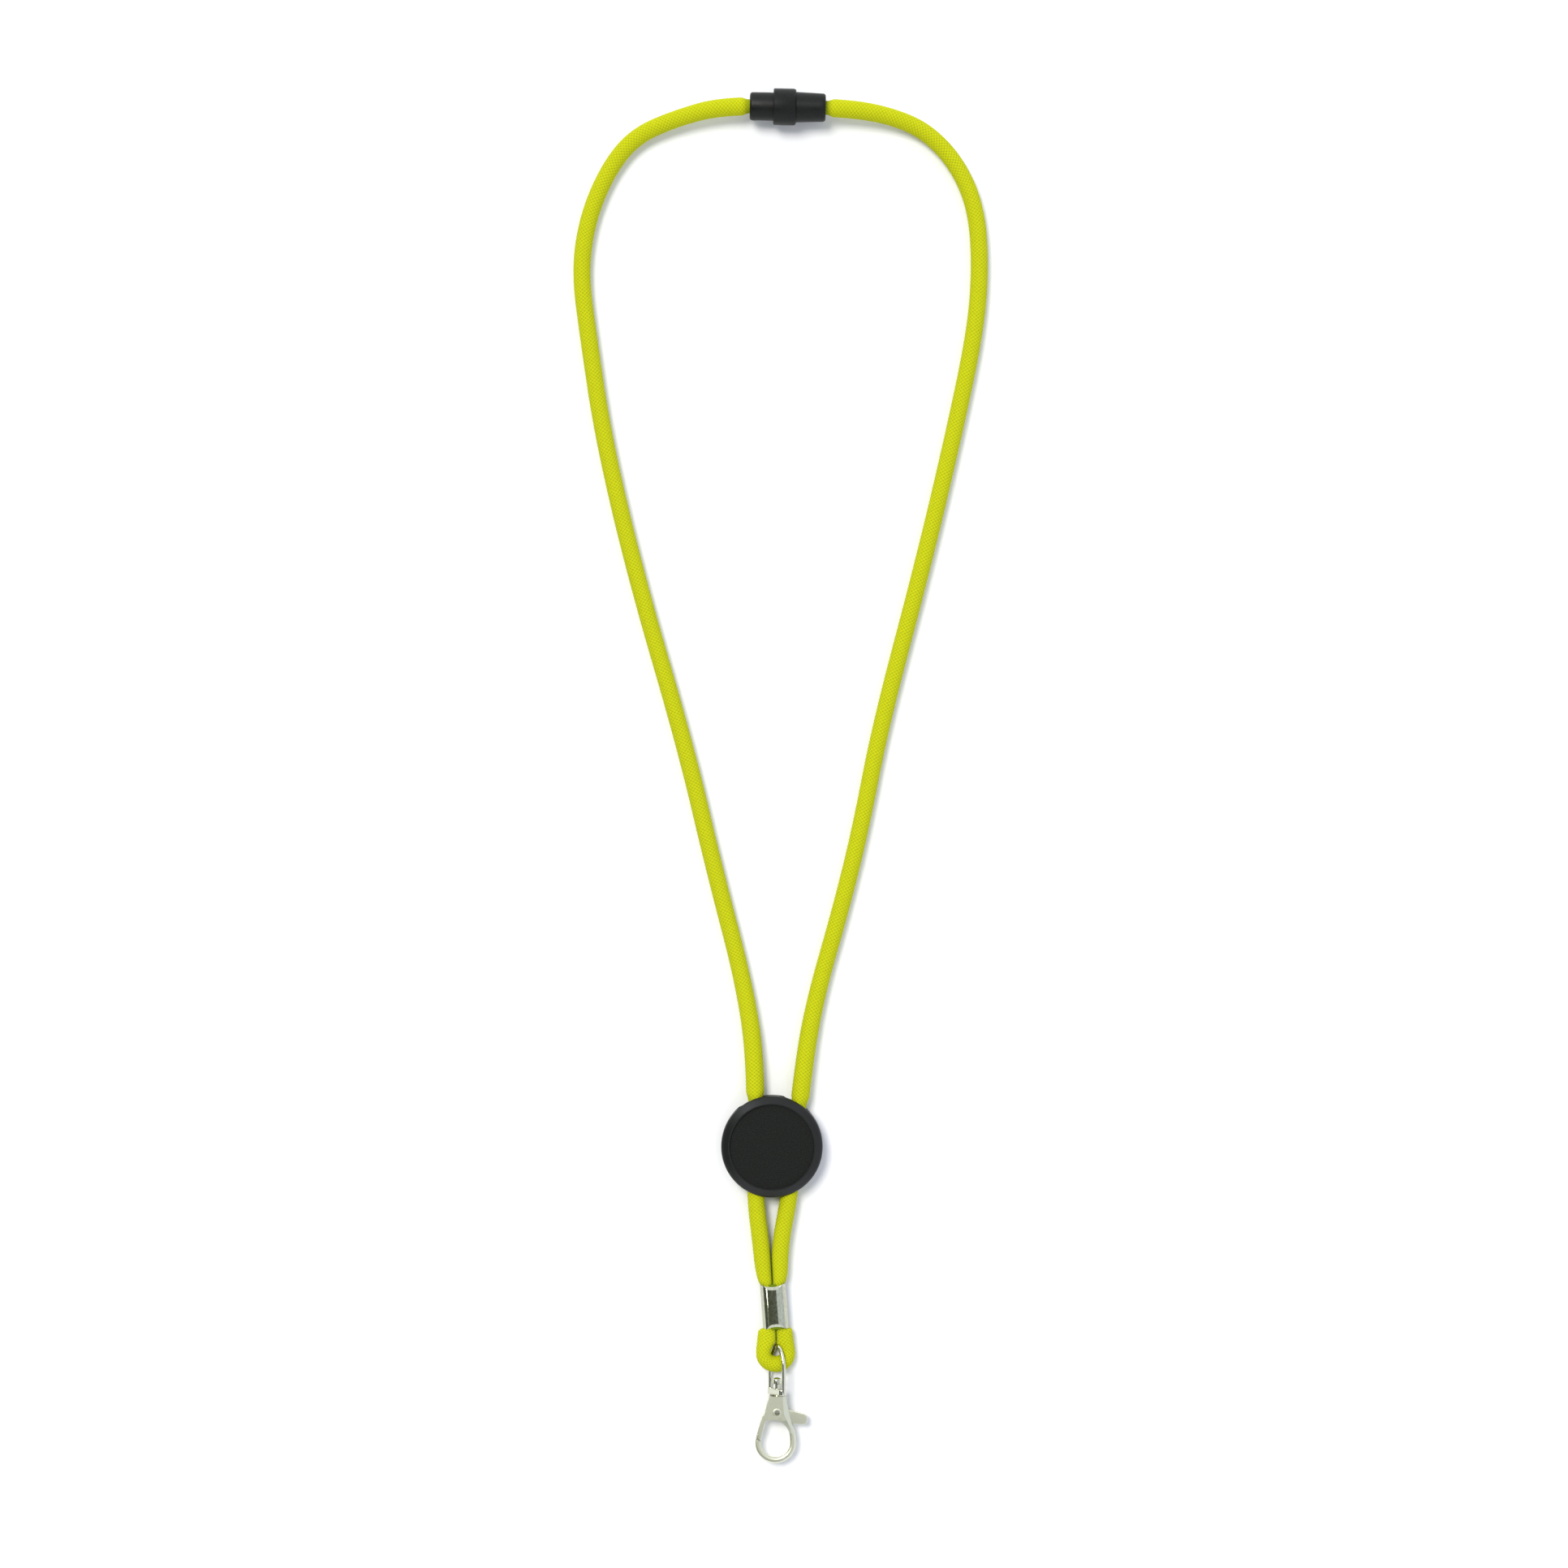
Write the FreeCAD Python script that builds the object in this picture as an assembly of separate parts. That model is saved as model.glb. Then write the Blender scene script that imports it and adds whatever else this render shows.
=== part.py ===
import FreeCAD, Part
import math
import os

from FreeCAD import Placement, Rotation, Vector

# Neck lanyard lying flat: +Z up, the floor at z = 0, the neck end towards +Y and the hook towards -Y.
# The origin is under the middle of the hard parts. Every size is in millimetres.

os.makedirs("parts", exist_ok=True)

# ---------------------------------------------------------------- driving dimensions

# Round braided neck cord, and the same cord where it is squeezed into the small hook loop
CORD_DIAMETER = 5.6
LOOP_CORD_DIAMETER = 4.9

# Breakaway clasp: two barrels on one axis, a collar with a socket, and a plug with two snap prongs.
# Stations along the axis are measured from the middle of the clasp, positive towards the collar's barrel.
CLASP_CENTRE = Vector(4.8, 223.85, 6.1)
CLASP_TURN = -1.2
CLASP_HALF_LENGTH = 12.7
BARREL_RADIUS = 4.7
BARREL_SHOULDER_RADIUS = 5.05
BARREL_END_ROUND = 0.9
COLLAR_RADIUS = 6.1
COLLAR_START = -4.8
COLLAR_END = 2.8
COLLAR_MOUTH_RADIUS = 4.85
COLLAR_MOUTH_CHAMFER = 0.8
COLLAR_MOUTH_DEPTH = 1.9
NOSE_DEPTH = 1.6
THROAT_RADIUS = 4.0
GROOVE_START = -0.2
GROOVE_END = 2.1
GROOVE_RADIUS = 4.6
CHAMBER_RADIUS = 3.6
CHAMBER_STATION = 9.2
CORD_BORE_RADIUS = 2.9
SPIGOT_LENGTH = 2.1
STOP_RADIUS = 3.5
STOP_LENGTH = 3.4
PRONG_RADIUS = 3.8
PRONG_BORE_RADIUS = 2.0
PRONG_END = 1.9
PRONG_SLOT = 1.8
BARB_RADIUS = 4.4
BARB_START = 0.1
BARB_LENGTH = 0.5

# Disc slider: two round shells that meet on the axis of the cord channels
DISC_CENTRE = Vector(-0.5, -124.05, 0)
DISC_RADIUS = 17.0
DISC_SPLIT = 3.9
DISC_RIM_HEIGHT = 7.3
DISC_HEIGHT = 9.2
BEVEL_RADIUS = 14.6
RECESS_RADIUS = 14.2
RECESS_DEPTH = 0.8
RIM_ROUND = 0.35
BACK_CHAMFER = 1.2
CHANNEL_OFFSET = 7.4
CHANNEL_WIDTH = 10.4
CHANNEL_HEIGHT = 6.0
PIN_RADIUS = 1.1
PIN_LENGTH = 2.7
PIN_PLACES = [(0, 11), (0, 4), (0, -4), (0, -11), (14.7, 0), (-14.7, 0)]

# Crimp ferrule: an oval sleeve with scooped, bevelled mouths
FERRULE_CENTRE = Vector(0.28, -177.75, 3.5)
FERRULE_TURN = 4.2
FERRULE_LENGTH = 15.0
FERRULE_WIDTH = 8.6
FERRULE_HEIGHT = 7.0
FERRULE_CORNER = 3.4
FERRULE_WALL = 0.7
SCOOP_RADIUS = 9.0
SCOOP_DEPTH = 0.8
SCOOP_BEVEL = 0.7

# Swivel: the wire yoke through the hook loop, and the headed post that it turns on
SWIVEL_AXIS = Vector(1.2, 0, 3.75)
YOKE_TURN = 54.0
YOKE_WIRE_RADIUS = 0.66
YOKE_HALF_WIDTH = 3.8
YOKE_ARM_TOP = -198.5
YOKE_SIDE_TURN = 36.0
YOKE_CROWN_RADIUS = 2.0
YOKE_FOOT_TOP = -205.4
YOKE_FOOT_BOTTOM = -207.4
YOKE_FOOT_HALF_WIDTH = 4.25
YOKE_FOOT_HALF_DEPTH = 1.4
YOKE_FOOT_ROUND = 0.35
POST_RADIUS = 0.8
POST_CLEARANCE = 0.06
POST_TOP = -201.6
POST_HEAD_RADIUS = 1.55
POST_HEAD_LENGTH = 2.2
POST_DOME = 0.9
POST_BOTTOM = -209.5

# Trigger hook, lying parallel to the floor around the swivel axis
HOOK_TOP = -207.8
HOOK_HALF_DEPTH = 2.4
HOOK_PIVOT = Vector(1.25, -213.2, 0)
RING_CENTRE = Vector(0.67, -223.45, 0)
RING_RADIUS = 5.85
RING_HALF_WIDTH = 0.95
RING_HALF_DEPTH = 1.3
RING_EDGE_ROUND = 0.65
SLOT_HALF_DEPTH = 1.05
RIVET_RADIUS = 1.15
RIVET_BORE_RADIUS = 0.85
RIVET_FLANGE_RADIUS = 1.45
RIVET_FLANGE = 0.25
RIVET_PROUD = 0.28
RIVET_ROUND = 0.2

# Gate lever and its spring
GATE_HALF_DEPTH = 0.95
GATE_HUB_RADIUS = 2.3
GATE_NOSE = Vector(-5.2, -222.4, 0)
GATE_LEAN = 15.7
GATE_HALF_WIDTH = 0.82
GATE_EDGE_ROUND = 0.2
GATE_LENGTH = 7.1
GATE_TIP_REACH = 11.1
GATE_TIP_GAP = 0.12
LIP_THICKNESS = 0.42
LIP_LENGTH = 1.6
GATE_RUNNING_CLEARANCE = 0.05
SPRING_WIRE_RADIUS = 0.16
SPRING_COIL_RADIUS = 1.55
SPRING_TURNS = 2.0
SPRING_PITCH = 0.33
SPRING_POCKET_RADIUS = 1.9
SPRING_POCKET_DEPTH = 1.05

# Routes of the cord, from point to point: tangent arcs round off every corner
LEFT_ROUTE = [
    (-4.40, 224.04, 6.1), (-17.0, 224.3, 6.1), (-33.0, 220.2, 4.5), (-46.5, 214.4, 3.2),
    (-55.3, 203.6, 2.8), (-62.2, 187.5, 2.8), (-64.9, 169.5, 2.8), (-62.2, 148.0, 2.8),
    (-57.0, 113.0, 2.8), (-45.9, 66.0, 2.8), (-29.4, 9.5, 2.8), (-19.8, -31.5, 2.8),
    (-9.6, -70.5, 2.8), (-5.8, -97.0, 3.9), (-6.4, -139.5, 3.9), (-3.8, -159.5, 3.6),
    (-3.15, -170.35, 3.5),
]
RIGHT_ROUTE = [
    (14.00, 223.66, 6.1), (26.2, 223.4, 6.1), (41.5, 220.5, 4.4), (52.5, 215.2, 3.2),
    (62.0, 204.6, 2.8), (67.9, 190.5, 2.8), (69.4, 172.0, 2.8), (67.9, 150.0, 2.8),
    (60.6, 115.0, 2.8), (50.2, 71.0, 2.8), (35.9, 17.0, 2.8), (29.2, -18.0, 2.8),
    (22.5, -45.0, 2.8), (13.9, -75.0, 2.8), (9.8, -99.0, 3.9), (5.7, -139.0, 3.9),
    (2.0, -158.0, 3.6), (2.5, -169.95, 3.5),
]
LOOP_ROUTE = [
    (-1.77, -185.6, 3.8), (-1.57, -188.3, 4.0), (-2.8, -192.2, 4.72), (-2.75, -195.3, 4.72),
    (-0.45, -197.55, 4.0), (2.65, -197.55, 3.2), (5.1, -195.3, 2.55), (5.15, -192.2, 2.55),
    (3.6, -188.2, 3.0), (3.38, -185.25, 3.2),
]


# ---------------------------------------------------------------- helpers

def export(name, shape):
    """Write one finished sub-part under its node name."""
    shape.exportStep("parts/" + name + ".step")


def turned(profile, axis=Vector(1, 0, 0)):
    """Solid of revolution about an axis through the origin, from its half outline."""
    wire = Part.makePolygon(profile + [profile[0]])
    return Part.Face(wire).revolve(Vector(0, 0, 0), axis, 360)


def cylinder_between(start, end, radius):
    """Round bar from one point to another."""
    span = end - start
    return Part.makeCylinder(radius, span.Length, start, span)


def slab(outline, low, high):
    """Prism over a closed outline of edges or points, between two heights."""
    if isinstance(outline[0], Vector):
        outline = Part.makePolygon(outline + [outline[0]]).Edges
    face = Part.Face(Part.Wire(outline))
    face.translate(Vector(0, 0, low))
    return face.extrude(Vector(0, 0, high - low))


def rounded_rectangle(width, height, corner):
    """Closed wire in the XZ plane, centred on the origin."""
    plate = Part.makeBox(width, 1, height, Vector(-width / 2, 0, -height / 2))
    edges = [edge for edge in plate.Edges if abs(edge.Vertexes[0].Y - edge.Vertexes[-1].Y) > 0.5]
    rounded = plate.makeFillet(corner, edges)
    front = min(rounded.Faces, key=lambda face: face.CenterOfMass.y)
    return front.OuterWire


def rounded_edges(solid, radius, chosen):
    """Round the edges of a solid that a test picks out."""
    return solid.makeFillet(radius, [edge for edge in solid.Edges if chosen(edge)])


def lies_flat_at(height):
    """Test for edges that lie wholly at one height above or below the mid-plane."""
    return lambda edge: edge.BoundBox.ZLength < 0.01 and abs(abs(edge.BoundBox.ZMax) - height) < 0.01


def rounded_path(points, share=0.45):
    """Straight runs joined by tangent arcs. Returns the wire and the arcs' radii."""
    edges = []
    radii = []
    last = points[0]
    for before, corner, after in zip(points, points[1:], points[2:]):
        back = before - corner
        ahead = after - corner
        reach = share * min(back.Length, ahead.Length)
        turn = math.pi - back.getAngle(ahead)
        back.normalize()
        ahead.normalize()
        enter = corner + back * reach
        leave = corner + ahead * reach
        radius = reach / math.tan(turn / 2)
        inward = (back + ahead).normalize()
        middle = corner + inward * (radius / math.cos(turn / 2) - radius)
        edges.append(Part.LineSegment(last, enter).toShape())
        edges.append(Part.Arc(enter, middle, leave).toShape())
        radii.append(radius)
        last = leave
    edges.append(Part.LineSegment(last, points[-1]).toShape())
    return Part.Wire(edges), radii


def swept_round(path, radius):
    """Round section swept along a wire of straight runs and tangent arcs."""
    first = path.Edges[0]
    section = Part.Wire(Part.makeCircle(radius, first.valueAt(first.FirstParameter),
                                        first.tangentAt(first.FirstParameter)))
    return path.makePipeShell([section], True, False)


def cord_tube(name, route, diameter):
    """Cord along its route, with the radii of its arcs and its volume printed."""
    path, radii = rounded_path([Vector(*point) for point in route])
    tube = swept_round(path, diameter / 2)
    expected = math.pi * (diameter / 2) ** 2 * path.Length
    print(name, "length %.1f" % path.Length, "volume / (section x length) %.4f" % (tube.Volume / expected),
          "arc radii", " ".join("%.1f" % radius for radius in radii))
    return tube


# ---------------------------------------------------------------- breakaway clasp

def on_clasp(shape):
    """Move a shape from the clasp's own axis to where the clasp lies."""
    shape.Placement = Placement(CLASP_CENTRE, Rotation(Vector(0, 0, 1), CLASP_TURN))
    return shape


def rounded_end(station, radius, outward):
    """Outline points of a barrel's rounded end, from its face to its side."""
    points = []
    for step in range(5):
        angle = math.radians(22.5 * step)
        along = station - outward * BARREL_END_ROUND * (1 - math.sin(math.pi / 2 - angle))
        points.append(Vector(along, radius - BARREL_END_ROUND * (1 - math.sin(angle)), 0))
    return points


def male_barrel():
    nose = COLLAR_START + NOSE_DEPTH
    outline = [Vector(-CLASP_HALF_LENGTH, CORD_BORE_RADIUS, 0)]
    outline += rounded_end(-CLASP_HALF_LENGTH, BARREL_RADIUS, -1)
    outline += [Vector(nose, BARREL_RADIUS, 0), Vector(nose, CHAMBER_RADIUS, 0),
                Vector(-CHAMBER_STATION, CHAMBER_RADIUS, 0), Vector(-CHAMBER_STATION, CORD_BORE_RADIUS, 0)]
    return turned(outline)


def snap_plug():
    nose = COLLAR_START + NOSE_DEPTH
    outline = [Vector(nose - SPIGOT_LENGTH, 0, 0), Vector(nose - SPIGOT_LENGTH, CHAMBER_RADIUS, 0),
               Vector(nose, CHAMBER_RADIUS, 0), Vector(nose, PRONG_RADIUS, 0),
               Vector(BARB_START, PRONG_RADIUS, 0), Vector(BARB_START, BARB_RADIUS, 0),
               Vector(BARB_START + BARB_LENGTH, BARB_RADIUS, 0), Vector(PRONG_END, PRONG_RADIUS - 0.4, 0),
               Vector(PRONG_END, PRONG_BORE_RADIUS, 0), Vector(nose + 0.6, PRONG_BORE_RADIUS, 0),
               Vector(nose + 0.6, 0, 0)]
    length = PRONG_END - nose
    slot = Part.makeBox(length, 2 * BARB_RADIUS + 1, PRONG_SLOT,
                        Vector(nose + 0.6, -BARB_RADIUS - 0.5, -PRONG_SLOT / 2))
    return turned(outline).cut(slot)


def collar():
    mouth_end = COLLAR_START + COLLAR_MOUTH_DEPTH
    outline = [Vector(COLLAR_START, COLLAR_MOUTH_RADIUS + COLLAR_MOUTH_CHAMFER, 0),
               Vector(COLLAR_START, COLLAR_RADIUS - 0.25, 0), Vector(COLLAR_START + 0.35, COLLAR_RADIUS, 0),
               Vector(COLLAR_END - 0.7, COLLAR_RADIUS, 0), Vector(COLLAR_END - 0.2, COLLAR_RADIUS - 0.25, 0),
               Vector(COLLAR_END, COLLAR_RADIUS - 0.7, 0), Vector(COLLAR_END, CHAMBER_RADIUS, 0),
               Vector(COLLAR_END + SPIGOT_LENGTH, CHAMBER_RADIUS, 0), Vector(COLLAR_END + SPIGOT_LENGTH, 0, 0),
               Vector(GROOVE_END, 0, 0), Vector(GROOVE_END, GROOVE_RADIUS, 0),
               Vector(GROOVE_START, GROOVE_RADIUS, 0), Vector(GROOVE_START, THROAT_RADIUS, 0),
               Vector(mouth_end, THROAT_RADIUS, 0), Vector(mouth_end, COLLAR_MOUTH_RADIUS, 0),
               Vector(COLLAR_START + COLLAR_MOUTH_CHAMFER, COLLAR_MOUTH_RADIUS, 0)]
    return turned(outline)


def female_barrel():
    outline = [Vector(CLASP_HALF_LENGTH, CORD_BORE_RADIUS, 0)]
    outline += rounded_end(CLASP_HALF_LENGTH, BARREL_RADIUS, 1)
    outline += [Vector(COLLAR_END, BARREL_SHOULDER_RADIUS, 0), Vector(COLLAR_END, CHAMBER_RADIUS, 0),
                Vector(CHAMBER_STATION, CHAMBER_RADIUS, 0), Vector(CHAMBER_STATION, CORD_BORE_RADIUS, 0)]
    return turned(outline)


def cord_end_stop(side):
    """Melted, swollen end of the cord inside a barrel."""
    outer = side * CHAMBER_STATION
    inner = side * (CHAMBER_STATION - STOP_LENGTH)
    return cylinder_between(Vector(outer, 0, 0), Vector(inner, 0, 0), STOP_RADIUS)


# ---------------------------------------------------------------- disc slider

def channels():
    """The two cord channels, flat ovals right through the slider."""
    both = []
    for side in (-1, 1):
        section = rounded_rectangle(CHANNEL_WIDTH, CHANNEL_HEIGHT, CHANNEL_HEIGHT / 2 - 0.01)
        face = Part.Face(section)
        face.translate(Vector(side * CHANNEL_OFFSET, -2 * DISC_RADIUS - face.CenterOfMass.y, DISC_SPLIT))
        both.append(face.extrude(Vector(0, 4 * DISC_RADIUS, 0)))
    return Part.makeCompound(both)


def snap_pins(radius):
    pins = [Part.makeCylinder(radius, PIN_LENGTH, Vector(x, y, DISC_SPLIT - PIN_LENGTH)) for x, y in PIN_PLACES]
    return Part.makeCompound(pins)


def disc_front():
    floor = DISC_HEIGHT - RECESS_DEPTH
    lean = math.atan2(DISC_HEIGHT - DISC_RIM_HEIGHT, DISC_RADIUS - BEVEL_RADIUS)
    outline = [Vector(0, 0, DISC_SPLIT), Vector(DISC_RADIUS, 0, DISC_SPLIT),
               Vector(DISC_RADIUS, 0, DISC_RIM_HEIGHT - RIM_ROUND),
               Vector(DISC_RADIUS - RIM_ROUND * 0.25, 0, DISC_RIM_HEIGHT - RIM_ROUND * 0.2),
               Vector(DISC_RADIUS - RIM_ROUND * math.cos(lean), 0, DISC_RIM_HEIGHT + RIM_ROUND * math.sin(lean)),
               Vector(BEVEL_RADIUS, 0, DISC_HEIGHT), Vector(RECESS_RADIUS, 0, DISC_HEIGHT),
               Vector(RECESS_RADIUS, 0, floor), Vector(0, 0, floor)]
    shell = turned(outline, Vector(0, 0, 1)).cut(channels())
    return shell.fuse(snap_pins(PIN_RADIUS).Solids).removeSplitter()


def disc_back():
    outline = [Vector(0, 0, 0), Vector(DISC_RADIUS - BACK_CHAMFER, 0, 0), Vector(DISC_RADIUS, 0, BACK_CHAMFER),
               Vector(DISC_RADIUS, 0, DISC_SPLIT), Vector(0, 0, DISC_SPLIT)]
    return turned(outline, Vector(0, 0, 1)).cut(channels()).cut(snap_pins(PIN_RADIUS))


def on_disc(shape):
    shape.translate(DISC_CENTRE)
    return shape


# ---------------------------------------------------------------- crimp ferrule

def ferrule_prism(inset):
    """Oval prism along Y, as large as the ferrule less an inset all round."""
    section = rounded_rectangle(FERRULE_WIDTH - 2 * inset, FERRULE_HEIGHT - 2 * inset, FERRULE_CORNER - inset)
    face = Part.Face(section)
    face.translate(Vector(0, -FERRULE_LENGTH / 2 - face.CenterOfMass.y, 0))
    return face.extrude(Vector(0, FERRULE_LENGTH, 0))


def mouth_scoop(side):
    """Upright round cutter at one mouth, flared towards the top and the bottom of the sleeve."""
    half = FERRULE_HEIGHT / 2
    centre = Vector(0, side * (FERRULE_LENGTH / 2 - SCOOP_DEPTH + SCOOP_RADIUS), 0)
    middle = Part.makeCylinder(SCOOP_RADIUS, 2 * half, centre - Vector(0, 0, half))
    cuts = [middle]
    for up in (-1, 1):
        base = centre + Vector(0, 0, up * (half - SCOOP_BEVEL))
        cuts.append(Part.makeCone(SCOOP_RADIUS, SCOOP_RADIUS + 1.4 * SCOOP_BEVEL, SCOOP_BEVEL, base,
                                  Vector(0, 0, up)))
    return cuts[0].fuse(cuts[1:])


def ferrule():
    sleeve = ferrule_prism(0).cut(ferrule_prism(FERRULE_WALL))
    for side in (-1, 1):
        sleeve = sleeve.cut(mouth_scoop(side))
    return sleeve


def on_ferrule(shape):
    shape.Placement = Placement(FERRULE_CENTRE, Rotation(Vector(0, 0, 1), FERRULE_TURN))
    return shape


# ---------------------------------------------------------------- swivel

def on_yoke_plane(across, along):
    """Point of the yoke's own plane, turned about the swivel axis."""
    angle = math.radians(YOKE_TURN)
    return SWIVEL_AXIS + Vector(across * math.cos(angle), along, across * math.sin(angle))


def yoke_bend(side):
    """Points where one half of the yoke's bend starts, passes and changes radius, from arm to crown."""
    turn = math.radians(YOKE_SIDE_TURN)
    side_radius = (YOKE_HALF_WIDTH - YOKE_CROWN_RADIUS * math.cos(turn)) / (1 - math.cos(turn))
    points = []
    for share in (0.5, 1.0):
        angle = share * turn
        points.append((side * (YOKE_HALF_WIDTH - side_radius * (1 - math.cos(angle))),
                       YOKE_ARM_TOP + side_radius * math.sin(angle)))
    return points


def swivel_yoke():
    crown_rise = YOKE_CROWN_RADIUS * (1 - math.sin(math.radians(YOKE_SIDE_TURN)))
    right = yoke_bend(1)
    left = yoke_bend(-1)
    crown = on_yoke_plane(0, right[1][1] + crown_rise)
    foot = (YOKE_FOOT_TOP + YOKE_FOOT_BOTTOM) / 2
    edges = [
        Part.LineSegment(on_yoke_plane(YOKE_HALF_WIDTH, foot), on_yoke_plane(YOKE_HALF_WIDTH, YOKE_ARM_TOP)),
        Part.Arc(on_yoke_plane(YOKE_HALF_WIDTH, YOKE_ARM_TOP), on_yoke_plane(*right[0]), on_yoke_plane(*right[1])),
        Part.Arc(on_yoke_plane(*right[1]), crown, on_yoke_plane(*left[1])),
        Part.Arc(on_yoke_plane(*left[1]), on_yoke_plane(*left[0]), on_yoke_plane(-YOKE_HALF_WIDTH, YOKE_ARM_TOP)),
        Part.LineSegment(on_yoke_plane(-YOKE_HALF_WIDTH, YOKE_ARM_TOP), on_yoke_plane(-YOKE_HALF_WIDTH, foot)),
    ]
    eye = swept_round(Part.Wire([edge.toShape() for edge in edges]), YOKE_WIRE_RADIUS)
    section = rounded_rectangle(2 * YOKE_FOOT_HALF_WIDTH, 2 * YOKE_FOOT_HALF_DEPTH, YOKE_FOOT_HALF_DEPTH - 0.05)
    plate = Part.Face(section)
    plate.translate(Vector(0, YOKE_FOOT_BOTTOM - plate.CenterOfMass.y, 0))
    plate = plate.extrude(Vector(0, YOKE_FOOT_TOP - YOKE_FOOT_BOTTOM, 0))
    plate = rounded_edges(plate, YOKE_FOOT_ROUND, lambda edge: edge.BoundBox.YLength < 0.01)
    plate.Placement = Placement(SWIVEL_AXIS, Rotation(Vector(0, 1, 0), -YOKE_TURN))
    hole = cylinder_between(on_yoke_plane(0, YOKE_FOOT_TOP + 1), on_yoke_plane(0, YOKE_FOOT_BOTTOM - 1),
                            POST_RADIUS + POST_CLEARANCE)
    return eye.fuse(plate).cut(hole).removeSplitter()


def swivel_post():
    """Headed rivet: domed head inside the eye, shank through the foot into the hook body."""
    dome = [math.radians(angle) for angle in range(90, -1, -15)]
    outline = [Vector(POST_HEAD_RADIUS * math.cos(angle), POST_TOP - POST_DOME * (1 - math.sin(angle)), 0)
               for angle in dome]
    outline += [
               Vector(POST_HEAD_RADIUS, POST_TOP - POST_HEAD_LENGTH + 0.2, 0),
               Vector(POST_HEAD_RADIUS - 0.2, POST_TOP - POST_HEAD_LENGTH, 0),
               Vector(POST_RADIUS, POST_TOP - POST_HEAD_LENGTH, 0), Vector(POST_RADIUS, POST_BOTTOM, 0),
               Vector(0, POST_BOTTOM, 0)]
    post = turned(outline, Vector(0, 1, 0))
    post.translate(SWIVEL_AXIS)
    return post


# ---------------------------------------------------------------- trigger hook

def at(x, y):
    return Vector(x, y, 0)


def on_hook(shape):
    """Lift a shape from the hook's own mid-plane to where the hook lies."""
    shape.translate(Vector(0, 0, SWIVEL_AXIS.z))
    return shape


def along_gate(distance, offset):
    """Point of the gate arm, from its nose up towards the hub, offset to the outside."""
    angle = math.radians(GATE_LEAN)
    return GATE_NOSE + at(distance * math.sin(angle) - offset * math.cos(angle),
                          distance * math.cos(angle) + offset * math.sin(angle))


def body_outline():
    """Shoulders, right flank, arch over the hook's opening and left flank of the two cheeks."""
    return [
        Part.LineSegment(at(-1.3, HOOK_TOP), at(4.2, HOOK_TOP)).toShape(),
        Part.Arc(at(4.2, HOOK_TOP), at(5.05, -212.3), at(6.2, -217.0)).toShape(),
        Part.Arc(at(6.2, -217.0), at(6.72, -219.4), at(6.95, -221.6)).toShape(),
        Part.LineSegment(at(6.95, -221.6), at(5.7, -221.6)).toShape(),
        Part.Arc(at(5.7, -221.6), at(4.1, -217.75), at(0.4, -215.45)).toShape(),
        Part.Arc(at(0.4, -215.45), at(-1.5, -215.75), at(-3.3, -214.7)).toShape(),
        Part.LineSegment(at(-3.3, -214.7), at(-1.3, HOOK_TOP)).toShape(),
    ]


def ring_path():
    """Middle line of the ring, from inside the right flank round to the nose."""
    start = at(5.2, -217.0)
    right = RING_CENTRE + at(RING_RADIUS, 0)
    bottom = RING_CENTRE - at(0, RING_RADIUS)
    nose_angle = math.radians(176)
    nose = RING_CENTRE + at(RING_RADIUS * math.cos(nose_angle), RING_RADIUS * math.sin(nose_angle))
    return Part.Wire([
        Part.Arc(start, at(6.25, -220.2), right).toShape(),
        Part.Arc(right, bottom, nose).toShape(),
        Part.LineSegment(nose, along_gate(LIP_LENGTH, 0)).toShape(),
    ])


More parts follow.
